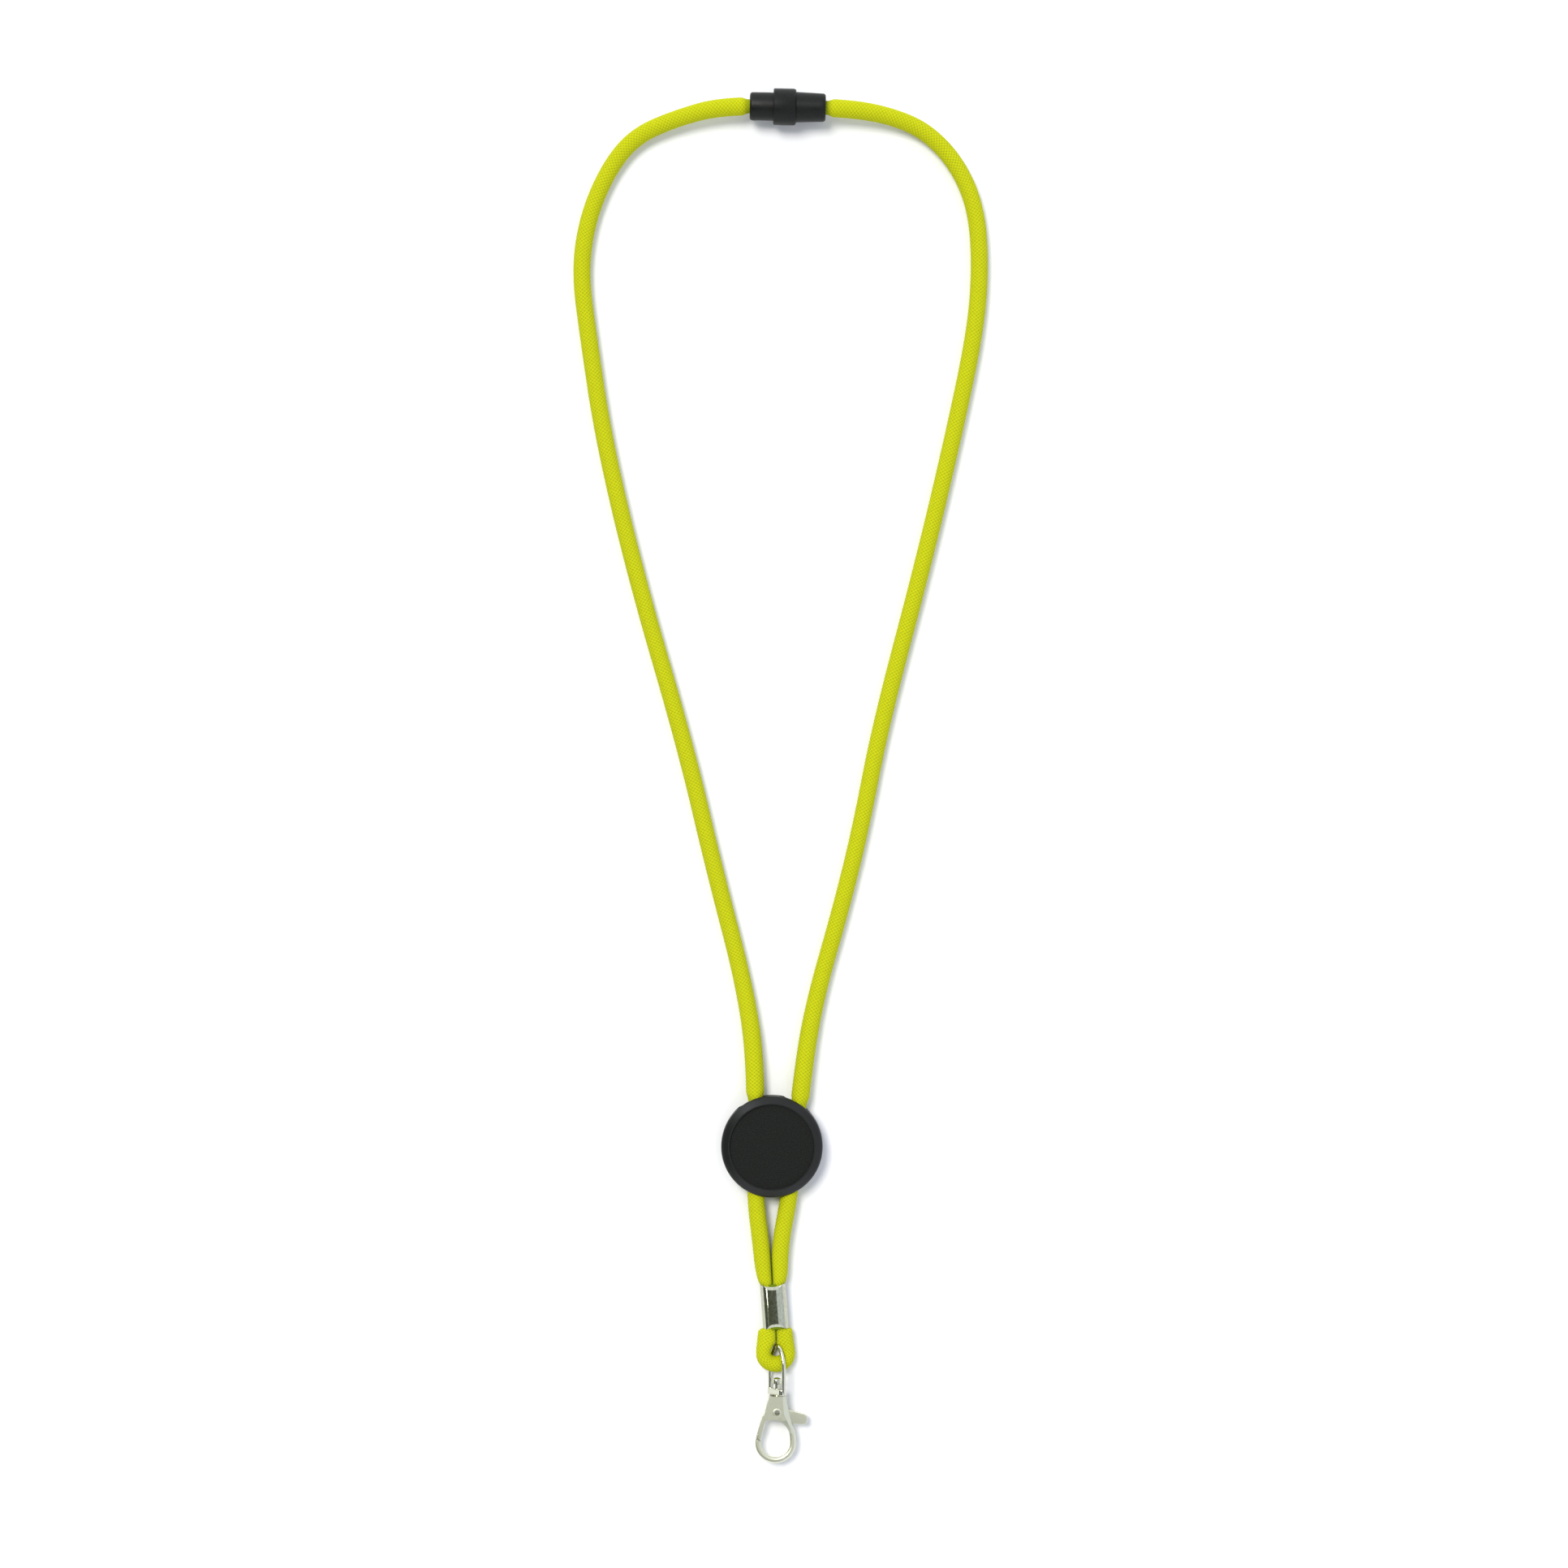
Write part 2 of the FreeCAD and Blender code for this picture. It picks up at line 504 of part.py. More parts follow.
def hook_body():
    cheeks = slab(body_outline(), -HOOK_HALF_DEPTH, HOOK_HALF_DEPTH).cut([taper_wedge(-1), taper_wedge(1)])
    path = ring_path()
    wire = rounded_rectangle(2 * RING_HALF_WIDTH, 2 * RING_HALF_DEPTH, RING_EDGE_ROUND)
    first = path.Edges[0]
    tangent = first.tangentAt(first.FirstParameter)
    frame = Rotation(tangent.cross(Vector(0, 0, 1)), tangent, Vector(0, 0, 1), "XYZ")
    wire.Placement = Placement(first.valueAt(first.FirstParameter), frame)
    ring = path.makePipeShell([wire], True, True)
    slot = slab([at(-6, -209.5), at(9, -209.5), at(9, -216.9), at(4.6, -217.3), at(2.6, -218.6), at(-6, -218.6)],
                -SLOT_HALF_DEPTH, SLOT_HALF_DEPTH)
    body = cheeks.fuse(ring).cut(slot)
    reach = Part.makeCylinder(GATE_TIP_REACH + GATE_TIP_GAP, 8, HOOK_PIVOT - Vector(0, 0, 4))
    nose_side = slab([at(-9, -224), at(-2, -224), at(-2, -219), at(-9, -219)], -4, 4)
    lip_inner = GATE_HALF_WIDTH - LIP_THICKNESS
    lip = slab([along_gate(-0.6, lip_inner), along_gate(-0.6, 2), along_gate(LIP_LENGTH, 2),
                along_gate(LIP_LENGTH, lip_inner)], -GATE_HALF_DEPTH, GATE_HALF_DEPTH)
    body = body.cut(reach.common(nose_side).cut(lip))
    bevel = slab([at(3.0, -207), at(3.5, -213.5), at(4.4, -215.7), at(5.7, -218.4), at(6.3, -220.6),
                  at(8, -220.6), at(8, -207)],
                 -HOOK_HALF_DEPTH, HOOK_HALF_DEPTH)
    for up in (-1, 1):
        body = body.cut(flank_wedge(up).common(bevel))
    body = body.cut(Part.makeCylinder(RIVET_RADIUS, 10, HOOK_PIVOT - Vector(0, 0, 5)))
    flange_depth = HOOK_HALF_DEPTH - RIVET_FLANGE
    for up in (-1, 1):
        body = body.cut(Part.makeCylinder(RIVET_FLANGE_RADIUS, 2, HOOK_PIVOT + Vector(0, 0, up * flange_depth),
                                          Vector(0, 0, up)))
    post_bore = cylinder_between(Vector(SWIVEL_AXIS.x, HOOK_TOP + 1, 0), Vector(SWIVEL_AXIS.x, POST_BOTTOM - 1, 0),
                                 POST_RADIUS)
    return body.cut(post_bore).removeSplitter()


def taper_wedge(up):
    """Material above or below the cheeks where they thin down into the ring."""
    slope = [Vector(0, -216, up * HOOK_HALF_DEPTH), Vector(0, -221.8, up * 0.9), Vector(0, -223, up * 0.9),
             Vector(0, -223, up * (HOOK_HALF_DEPTH + 1)), Vector(0, -216, up * (HOOK_HALF_DEPTH + 1))]
    face = Part.Face(Part.makePolygon(slope + [slope[0]]))
    face.translate(Vector(-10, 0, 0))
    return face.extrude(Vector(20, 0, 0))


def flank_wedge(up):
    """Material outside the sloping right flank, above or below the mid-plane."""
    ridge = Vector(3.0, 0, up * HOOK_HALF_DEPTH)
    edge = Vector(6.6, 0, up * (SLOT_HALF_DEPTH + 0.15))
    outer = Vector(9.0, 0, up * (SLOT_HALF_DEPTH + 0.15))
    top = Vector(9.0, 0, up * (HOOK_HALF_DEPTH + 1))
    back = Vector(3.0, 0, up * (HOOK_HALF_DEPTH + 1))
    face = Part.Face(Part.makePolygon([ridge, edge, outer, top, back, ridge]))
    face.translate(Vector(0, -221, 0))
    return face.extrude(Vector(0, 15, 0))


def pivot_rivet():
    """Tubular rivet, rolled over into a flange on each cheek."""
    half = HOOK_HALF_DEPTH
    barrel = Part.makeCylinder(RIVET_RADIUS, 2 * half, HOOK_PIVOT - Vector(0, 0, half))
    for up in (-1, 1):
        flange = Part.makeCylinder(RIVET_FLANGE_RADIUS, RIVET_FLANGE + RIVET_PROUD,
                                   HOOK_PIVOT + Vector(0, 0, up * (half - RIVET_FLANGE)), Vector(0, 0, up))
        flange = rounded_edges(flange, RIVET_ROUND, lies_flat_at(half + RIVET_PROUD))
        barrel = barrel.fuse(flange)
    return barrel.cut(Part.makeCylinder(RIVET_BORE_RADIUS, 4 * half, HOOK_PIVOT - Vector(0, 0, 2 * half)))


def gate_lever():
    """Arm that closes the hook, hub on the rivet, and thumb tab with four grip notches."""
    hub = Part.makeCylinder(GATE_HUB_RADIUS, 2 * GATE_HALF_DEPTH, HOOK_PIVOT - Vector(0, 0, GATE_HALF_DEPTH))
    half = GATE_HALF_WIDTH
    stepped = half - LIP_THICKNESS - GATE_RUNNING_CLEARANCE
    step = LIP_LENGTH + 3 * GATE_RUNNING_CLEARANCE
    arm = slab([along_gate(-2, stepped), along_gate(step, stepped), along_gate(step, half),
                along_gate(GATE_LENGTH + 1.2, half), at(-0.6, -212.2), at(0.6, -215.0),
                along_gate(GATE_LENGTH, -half - 0.5), along_gate(GATE_LENGTH - 0.8, -half), along_gate(-2, -half)],
               -GATE_HALF_DEPTH, GATE_HALF_DEPTH)
    arm = arm.common(Part.makeCylinder(GATE_TIP_REACH, 4, HOOK_PIVOT - Vector(0, 0, 2)))
    tab = slab([at(1.4, -211.3), at(5.6, -212.55), at(10.3, -213.8), at(11.2, -214.4), at(11.35, -215.8),
                at(11.0, -216.9), at(10.2, -217.35), at(6.2, -217.0), at(4.3, -216.6), at(1.3, -215.1)],
               -GATE_HALF_DEPTH, GATE_HALF_DEPTH)
    lever = hub.fuse([arm, tab]).removeSplitter()
    lever = rounded_edges(lever, GATE_EDGE_ROUND, lies_flat_at(GATE_HALF_DEPTH))
    for step in range(4):
        x = 6.5 + 1.1 * step
        y = -212.55 - (x - 5.6) * 0.266
        notch = slab([at(x - 0.3, y + 0.2), at(x + 0.35, y + 0.1), at(x + 0.1, y - 0.35)], -2, 2)
        lever = lever.cut(notch)
    bore = Part.makeCylinder(RIVET_RADIUS + GATE_RUNNING_CLEARANCE, 4, HOOK_PIVOT - Vector(0, 0, 2))
    pocket = Part.makeCylinder(SPRING_POCKET_RADIUS, 2, HOOK_PIVOT + Vector(0, 0, SPRING_POCKET_DEPTH - GATE_HALF_DEPTH),
                               Vector(0, 0, -1))
    return lever.cut(bore).cut(pocket).removeSplitter()


def torsion_spring():
    """Coil in the lever's pocket, from end to end of its wire."""
    coil = Part.makeHelix(SPRING_PITCH, SPRING_PITCH * SPRING_TURNS, SPRING_COIL_RADIUS)
    start = coil.Edges[0].valueAt(coil.Edges[0].FirstParameter)
    tangent = coil.Edges[0].tangentAt(coil.Edges[0].FirstParameter)
    section = Part.Wire(Part.makeCircle(SPRING_WIRE_RADIUS, start, tangent))
    spring = Part.Wire(coil.Edges).makePipeShell([section], True, True)
    spring.translate(HOOK_PIVOT + Vector(0, 0, -GATE_HALF_DEPTH + SPRING_WIRE_RADIUS + 0.02))
    return spring


# ---------------------------------------------------------------- write every sub-part

NODES = {
    "cord_left_strand": cord_tube("cord_left_strand", LEFT_ROUTE, CORD_DIAMETER),
    "cord_right_strand": cord_tube("cord_right_strand", RIGHT_ROUTE, CORD_DIAMETER),
    "cord_hook_loop": cord_tube("cord_hook_loop", LOOP_ROUTE, LOOP_CORD_DIAMETER),
    "cord_crimped_section": on_ferrule(ferrule_prism(FERRULE_WALL)),
    "cord_end_stop_left": on_clasp(cord_end_stop(-1)),
    "cord_end_stop_right": on_clasp(cord_end_stop(1)),
    "clasp_male_barrel": on_clasp(male_barrel()),
    "clasp_snap_plug": on_clasp(snap_plug()),
    "clasp_socket_collar": on_clasp(collar()),
    "clasp_female_barrel": on_clasp(female_barrel()),
    "disc_front_shell": on_disc(disc_front()),
    "disc_back_shell": on_disc(disc_back()),
    "crimp_ferrule": on_ferrule(ferrule()),
    "swivel_yoke": swivel_yoke(),
    "swivel_post": swivel_post(),
    "hook_body": on_hook(hook_body()),
    "gate_pivot_rivet": on_hook(pivot_rivet()),
    "gate_lever": on_hook(gate_lever()),
    "gate_torsion_spring": on_hook(torsion_spring()),
}

for node, shape in NODES.items():
    export(node, shape)
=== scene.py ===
# %% [markdown]
# # Neck lanyard
# A round braided cord makes a neck loop. A breakaway clasp joins its two ends at the back of
# the neck, a two-shell badge slides on both strands, a crimped metal sleeve holds the strands
# together, and a wire yoke carries a trigger hook that turns on a post.
#
# The hard pieces come from the engineering model, so the scene starts by loading it. Lengths
# are in metres and `MM` turns millimetres into them. +Z is up, +Y runs to the neck and -Y to
# the hook.

# %% Load the frame
import math

import bpy
import numpy as np
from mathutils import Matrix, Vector


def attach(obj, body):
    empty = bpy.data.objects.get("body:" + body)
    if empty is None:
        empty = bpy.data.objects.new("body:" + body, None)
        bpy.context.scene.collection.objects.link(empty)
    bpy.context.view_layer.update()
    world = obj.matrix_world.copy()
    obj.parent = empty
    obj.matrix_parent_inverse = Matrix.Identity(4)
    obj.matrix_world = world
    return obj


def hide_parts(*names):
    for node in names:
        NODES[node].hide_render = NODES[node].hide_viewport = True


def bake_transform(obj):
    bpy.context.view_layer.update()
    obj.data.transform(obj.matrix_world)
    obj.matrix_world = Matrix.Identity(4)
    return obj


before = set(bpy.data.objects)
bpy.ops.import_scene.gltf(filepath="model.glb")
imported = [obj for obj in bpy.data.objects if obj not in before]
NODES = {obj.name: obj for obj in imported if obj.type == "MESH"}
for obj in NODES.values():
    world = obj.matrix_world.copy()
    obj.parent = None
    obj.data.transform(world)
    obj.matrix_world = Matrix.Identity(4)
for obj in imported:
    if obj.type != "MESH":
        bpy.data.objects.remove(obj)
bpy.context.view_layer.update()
MM = 0.001

# %% [markdown]
# ## Colour and nodes
# Colours are written as sRGB hex, the way a paint card or a screen gives them, and one function
# turns them into the linear numbers that shaders add up. A second small function adds a node,
# sets it and links it, and every tree in this lesson is built with it.


# %% Helpers for colours and nodes
def colour(code):
    """sRGB hex to linear red, green, blue and alpha."""
    parts = [int(code[i : i + 2], 16) / 255 for i in (0, 2, 4)]
    linear = [p / 12.92 if p <= 0.04045 else ((p + 0.055) / 1.055) ** 2.4 for p in parts]
    return (*linear, 1.0)


def add(tree, kind, values=None, **settings):
    """One node: its settings, then its inputs, each linked or set to a value."""
    node = tree.nodes.new(kind)
    for name, value in settings.items():
        setattr(node, name, value)
    for key, value in (values or {}).items():
        if isinstance(value, bpy.types.NodeSocket):
            tree.links.new(value, node.inputs[key])
        else:
            node.inputs[key].default_value = value
    return node


def calc(tree, operation, *values):
    """Arithmetic on one, two or three numbers or sockets."""
    return add(tree, "ShaderNodeMath", dict(enumerate(values)), operation=operation).outputs[0]


def new_material(name):
    """An empty material and its tree."""
    made = bpy.data.materials.new(name)
    made.use_nodes = True
    made.node_tree.nodes.clear()
    return made, made.node_tree


def finish_surface(tree, **inputs):
    """The surface shader and the output. Input names use _ for a space."""
    named = {name.replace("_", " "): value for name, value in inputs.items()}
    shader = add(tree, "ShaderNodeBsdfPrincipled", named)
    add(tree, "ShaderNodeOutputMaterial", {"Surface": shader.outputs[0]})


def stretch(tree, value, start, end, low=0.0, high=1.0):
    """A number that goes from low to high as the value goes from start to end."""
    limits = {0: value, 1: start, 2: end, 3: low, 4: high}
    return add(tree, "ShaderNodeMapRange", limits).outputs[0]


def mix(tree, factor, first, second):
    """A colour between two: the first at 0 and the second at 1."""
    inputs = {0: factor, 6: first, 7: second}
    return add(tree, "ShaderNodeMix", inputs, data_type="RGBA").outputs[2]


def ramp(tree, factor, low, high, start=0.0, end=1.0):
    """A colour between two, as a factor goes from start to end."""
    return mix(tree, stretch(tree, factor, start, end), low, high)


def own_place(tree):
    """Where a point is in the piece's own coordinates."""
    return add(tree, "ShaderNodeTexCoord").outputs["Object"]


def grain(tree, size, detail=2.0, roughness=0.5):
    """Noise on the piece's own coordinates whose grains are about that wide, in metres."""
    noise = add(tree, "ShaderNodeTexNoise", {"Vector": own_place(tree), "Scale": 1 / size,
                                             "Detail": detail, "Roughness": roughness})
    return noise.outputs[0]


def bumped(tree, height, depth, strength=1.0, under=None):
    """A surface normal from a height pattern, depth in metres, laid over another one if given."""
    values = {"Strength": strength, "Distance": depth, "Height": height}
    if under is not None:
        values["Normal"] = under
    return add(tree, "ShaderNodeBump", values).outputs[0]


# %% [markdown]
# ## The braid's rule
# A round cord like this one is a tube plaited from two families of flat yarns, one winding to
# the right and one to the left. Count along one family with `a` and along the other with `b`:
# a whole number is a yarn's edge. Where the sum of the two whole parts is even one family lies
# on top, and where it is odd the other does. The same rule shapes the mesh and colours the
# material, so it is written once, for both kinds of tree. A yarn is round across, and along its
# length it dives under the next one.

# %% Which yarn is on top, and how high it stands
YARNS_EACH_WAY = 12
BRAID_LAY = 14.4 * MM
THREADS_IN_A_YARN = 3
CROWN_POWER = 0.6
DIVE_POWER, DIVE_DEPTH = 0.7, 0.45


def braid(tree, a, b):
    """Height from 0 to 1, and the place across the yarn that lies on top."""
    part = [calc(tree, "FRACT", v) for v in (a, b)]
    whole = calc(tree, "ADD", calc(tree, "FLOOR", a), calc(tree, "FLOOR", b))
    odd = calc(tree, "FLOORED_MODULO", whole, 2.0)
    swell = [calc(tree, "SINE", calc(tree, "MULTIPLY", p, math.pi)) for p in part]
    across = add(tree, "ShaderNodeMix", {0: odd, 2: swell[0], 3: swell[1]}).outputs[0]
    along = add(tree, "ShaderNodeMix", {0: odd, 2: swell[1], 3: swell[0]}).outputs[0]
    place = add(tree, "ShaderNodeMix", {0: odd, 2: part[0], 3: part[1]}).outputs[0]
    dip = calc(tree, "MULTIPLY_ADD", calc(tree, "POWER", along, DIVE_POWER),
               DIVE_DEPTH, 1 - DIVE_DEPTH)
    height = calc(tree, "MULTIPLY", calc(tree, "POWER", across, CROWN_POWER), dip)
    return height, place


# %% [markdown]
# ## Braided polyester
# The cord is spun polyester dyed a lime that leans to yellow. Its yarns are soft and matt, so
# there is no gloss, only a faint sheen at grazing angles. Light that falls between two yarns
# comes back greener and darker. Where the cord goes into a mouth or lies against the other
# strand it is painted a deeper green, as painted shade. The yarns follow the cord, so their
# colour reads the cord's own UV map, not the object's axes.

# %% Cord material
GROOVE_LIME, CROWN_LIME, FADED_LIME = "78840C", "BDC10C", "B3B60A"
# Painted shade: a deeper green where the cord goes into a mouth or touches the other strand, and a
# flat dark green for the crimped cord seen in the ferrule's mouths.
PAINTED_SHADE_GREEN, CRIMPED_SHADE_GREEN, SHEEN_LIME = "567010", "66780E", "D6E030"
GROOVE_TOP, CROWN_FOOT = 0.12, 0.62
FADED_PATCH, FADING = 2.5 * MM, 0.35
FUZZ_SIZE, FUZZ_DEPTH = 0.25 * MM, 0.03 * MM
YARN_DEPTH, THREAD_DEPTH = 0.10 * MM, 0.02 * MM


def braided_polyester(name):
    """Lime yarns, shaded by how high each place stands, with threads and fuzz as a fine bump."""
    made, tree = new_material(name)
    uv = add(tree, "ShaderNodeUVMap", uv_map="Braid").outputs[0]
    split = add(tree, "ShaderNodeSeparateXYZ", {0: uv})
    height, place = braid(tree, split.outputs[0], split.outputs[1])
    threads = calc(tree, "SINE", calc(tree, "MULTIPLY", place, 2 * math.pi * THREADS_IN_A_YARN))
    body = ramp(tree, height, colour(GROOVE_LIME), colour(CROWN_LIME), GROOVE_TOP, CROWN_FOOT)
    fading = calc(tree, "MULTIPLY", grain(tree, FADED_PATCH, 3.0), FADING)
    cloudy = mix(tree, fading, body, colour(FADED_LIME))
    # Painted shade: a deeper green where the cord goes into a mouth or lies against the other
    # strand.
    painted_shade_amount = add(tree, "ShaderNodeAttribute", attribute_name="painted_shade").outputs["Fac"]
    base = mix(tree, painted_shade_amount, cloudy, colour(PAINTED_SHADE_GREEN))
    fuzz = bumped(tree, grain(tree, FUZZ_SIZE, 3.0), FUZZ_DEPTH, 0.6)
    yarn = bumped(tree, height, YARN_DEPTH, 0.5, fuzz)
    normal = bumped(tree, threads, THREAD_DEPTH, 0.5, yarn)
    finish_surface(tree, Base_Color=base, Roughness=0.85, Specular_IOR_Level=0.15, Normal=normal,
                   Sheen_Weight=0.06, Sheen_Roughness=0.5, Sheen_Tint=colour(SHEEN_LIME))
    return made


BRAID = braided_polyester("braided lime polyester")
# The crimped cord that shows in the ferrule's mouths is a flat dark green: painted shade.
CRIMPED_BRAID_IN_SHADE, tree = new_material("crimped braid in deep shade")
finish_surface(tree, Base_Color=colour(CRIMPED_SHADE_GREEN), Roughness=0.9, Specular_IOR_Level=0.1)

# %% [markdown]
# ## Moulded black plastic
# The clasp and the badge are injection-moulded ABS. The mould was spark-eroded, which leaves a
# fine even grain that spreads highlights wide. The badge's round recess is the most matt, and
# its grain shows as fine mottling; the bevelled rim around it has more gloss. The snap plug
# comes from a polished part of the mould.

# %% Plastic materials
DISC_MIDDLE = (-0.5 * MM, -124.05 * MM, 0)
RECESS_RADIUS = 14.2 * MM
RIM_BLUR = 0.04 * MM
RECESS_ROUGH, RIM_ROUGH = 0.48, 0.36
RECESS_SHINE, RIM_SHINE = 0.12, 0.29
UNEVEN_PATCH, UNEVEN_ROUGH = 6 * MM, 0.05


def moulded_abs(name, dark, light, grain_size, depth, rough, shine):
    """Grained plastic whose roughness drifts a little from place to place."""
    made, tree = new_material(name)
    fine = grain(tree, grain_size, 4.0, 0.6)
    base = ramp(tree, fine, colour(dark), colour(light), 0.35, 0.65)
    worn = stretch(tree, grain(tree, UNEVEN_PATCH), 0.3, 0.7,
                   rough - UNEVEN_ROUGH, rough + UNEVEN_ROUGH)
    finish_surface(tree, Base_Color=base, Roughness=worn, Specular_IOR_Level=shine,
                   Normal=bumped(tree, fine, depth, 0.7))
    return made


def badge_face(name):
    """The badge's front: matt and mottled in the round recess, satin on the rim around it."""
    made, tree = new_material(name)
    flat = add(tree, "ShaderNodeVectorMath", {0: own_place(tree), 1: (1, 1, 0)},
               operation="MULTIPLY").outputs[0]
    away = add(tree, "ShaderNodeVectorMath", {0: flat, 1: DISC_MIDDLE},
               operation="DISTANCE").outputs["Value"]
    on_rim = stretch(tree, away, RECESS_RADIUS - RIM_BLUR, RECESS_RADIUS + RIM_BLUR)
    fine = grain(tree, 0.42 * MM, 4.0, 0.6)
    recess = ramp(tree, fine, colour("060706"), colour("191C18"), 0.38, 0.62)
    base = mix(tree, on_rim, recess, colour("0E100E"))
    rough = stretch(tree, on_rim, 0.0, 1.0, RECESS_ROUGH, RIM_ROUGH)
    shine = stretch(tree, on_rim, 0.0, 1.0, RECESS_SHINE, RIM_SHINE)
    finish_surface(tree, Base_Color=base, Roughness=rough, Specular_IOR_Level=shine,
                   Normal=bumped(tree, fine, 0.05 * MM, 0.7))
    return made


CLASP_ABS = moulded_abs("spark-grained black ABS", "080A08", "141713",
                        0.45 * MM, 0.06 * MM, 0.45, 0.21)
DISC_ABS = badge_face("badge face black ABS")
SNAP_ABS = moulded_abs("smooth black ABS", "0C0D0C", "131512", 0.3 * MM, 0.01 * MM, 0.3, 0.3)

# %% [markdown]
# ## Metals
# The hook is a zinc casting with satin nickel: a bright warm grey whose highlights are soft. The
# yoke is drawn wire with bright nickel, and the ferrule is a steel sleeve with polished nickel,
# which mirrors the room in long bands. The gate's spring is plain bright wire, and the cord's
# hidden end stops are brass. A metal's colour is its reflection, so each one gets a fine haze in
# its roughness and a shallow bump from polishing.

# %% Metal materials
POLISH_MARK = 0.6 * MM


def plated(name, dark, light, rough, haze, depth, marks=(1.0, 1.0, 1.0)):
    """Polished metal. The marks can be drawn out along an axis by a scale below 1."""
    made, tree = new_material(name)
    drawn = add(tree, "ShaderNodeMapping", {"Vector": own_place(tree), "Scale": marks}).outputs[0]
    noise = add(tree, "ShaderNodeTexNoise",
                {"Vector": drawn, "Scale": 1 / POLISH_MARK, "Detail": 3.0}).outputs[0]
    base = ramp(tree, noise, colour(dark), colour(light), 0.35, 0.65)
    uneven = stretch(tree, noise, 0.3, 0.7, rough - haze, rough + haze)
    finish_surface(tree, Base_Color=base, Metallic=1.0, Roughness=uneven,
                   Normal=bumped(tree, noise, depth, 0.5))
    return made


SATIN_NICKEL = plated("satin nickel on zinc", "DADBC2", "DCDDC6", 0.33, 0.01, 0.0008 * MM)
BRIGHT_NICKEL = plated("bright nickel wire", "CECFBC", "D6D7C6", 0.14, 0.02, 0.003 * MM)
SLEEVE_NICKEL = plated("polished nickel sleeve", "B0B39C", "C2C4B0", 0.13, 0.03, 0.008 * MM,
                       (1.0, 0.6, 1.0))
SPRING_WIRE = plated("spring steel wire", "8E8F8E", "A5A6A5", 0.25, 0.04, 0.004 * MM)
BRASS = plated("turned brass", "B08D45", "C6A35A", 0.25, 0.04, 0.006 * MM)

# %% [markdown]
# ## Finishing the engineering pieces
# The engineering model arrives as loose triangles. A weld followed by smooth shading between
# faces that meet at a shallow angle makes its curves round and keeps its real edges sharp. No
# moulded or cast edge is quite sharp, so a narrow bevel eases the ones that catch the light.
# Both are modifiers, so the piece's own mesh stays as it was.

# %% Smooth shading, with real edges kept and slightly eased
WELD_DISTANCE = 0.002 * MM
EDGE_ANGLE = math.radians(32)
EASED_ANGLE = math.radians(45)


def smooth_tree():
    """Welds the triangles and marks as sharp each edge that turns more than the given angle."""
    tree = bpy.data.node_groups.new("weld and smooth", "GeometryNodeTree")
    tree.interface.new_socket("Geometry", in_out="INPUT", socket_type="NodeSocketGeometry")
    tree.interface.new_socket("Edge Angle", in_out="INPUT", socket_type="NodeSocketFloat")
    tree.interface.new_socket("Geometry", in_out="OUTPUT", socket_type="NodeSocketGeometry")
    given = add(tree, "NodeGroupInput")
    welded = add(tree, "GeometryNodeMergeByDistance",
                 {"Geometry": given.outputs[0], "Distance": WELD_DISTANCE})
    angle = add(tree, "GeometryNodeInputMeshEdgeAngle").outputs[0]
    sharp = add(tree, "FunctionNodeCompare", {0: angle, 1: given.outputs[1]},
                operation="GREATER_THAN")
    marked = add(tree, "GeometryNodeStoreNamedAttribute",
                 {"Geometry": welded.outputs[0], "Name": "sharp_edge", "Value": sharp.outputs[0]},
                 data_type="BOOLEAN", domain="EDGE")
    smooth = add(tree, "GeometryNodeSetShadeSmooth", {"Geometry": marked.outputs[0]})
    add(tree, "NodeGroupOutput", {0: smooth.outputs[0]})
    return tree


WELD_AND_SMOOTH = smooth_tree()


def set_input(modifier, name, value):
    """A Geometry Nodes input, by its name on the tree."""
    for item in modifier.node_group.interface.items_tree:
        if item.in_out == "INPUT" and item.name == name:
            modifier[item.identifier] = value


def dress(node, surface, edge=0.0):
    """Gives an engineering piece its material, its smooth shading and its slightly eased edges."""
    piece = NODES[node]
    piece.data.materials.clear()
    piece.data.materials.append(surface)
    modifier = piece.modifiers.new("weld and smooth", "NODES")
    modifier.node_group = WELD_AND_SMOOTH
    set_input(modifier, "Edge Angle", EDGE_ANGLE)
    if edge > 0:
        worn = piece.modifiers.new("eased edges", "BEVEL")
        worn.width = edge
        worn.segments = 2
        worn.limit_method = "ANGLE"
        worn.angle_limit = EASED_ANGLE
        worn.harden_normals = True
    return piece


FINISHES = {
    "clasp_male_barrel": CLASP_ABS,
    "clasp_female_barrel": CLASP_ABS,
    "clasp_socket_collar": CLASP_ABS,
    "clasp_snap_plug": SNAP_ABS,
    "disc_front_shell": DISC_ABS,
    "disc_back_shell": CLASP_ABS,
    "crimp_ferrule": SLEEVE_NICKEL,
    "swivel_yoke": BRIGHT_NICKEL,
    "swivel_post": BRIGHT_NICKEL,
    "hook_body": SATIN_NICKEL,
    "gate_pivot_rivet": SATIN_NICKEL,
    "gate_lever": SATIN_NICKEL,
    "gate_torsion_spring": SPRING_WIRE,
    "cord_end_stop_left": BRASS,
    "cord_end_stop_right": BRASS,
}
EASED_EDGES = {
    "hook_body": 0.14 * MM,
    "disc_front_shell": 0.10 * MM,
    "disc_back_shell": 0.10 * MM,
    "clasp_socket_collar": 0.12 * MM,
    "clasp_male_barrel": 0.08 * MM,
    "crimp_ferrule": 0.08 * MM,
}
for node, surface in FINISHES.items():
    dress(node, surface, EASED_EDGES.get(node, 0.0))
print("finished", len(FINISHES), "engineering pieces")

# %% [markdown]
# ## Camera
# The lanyard is looked at from straight above. A long lens far away keeps the tall badge and
# the flat cord at one scale.

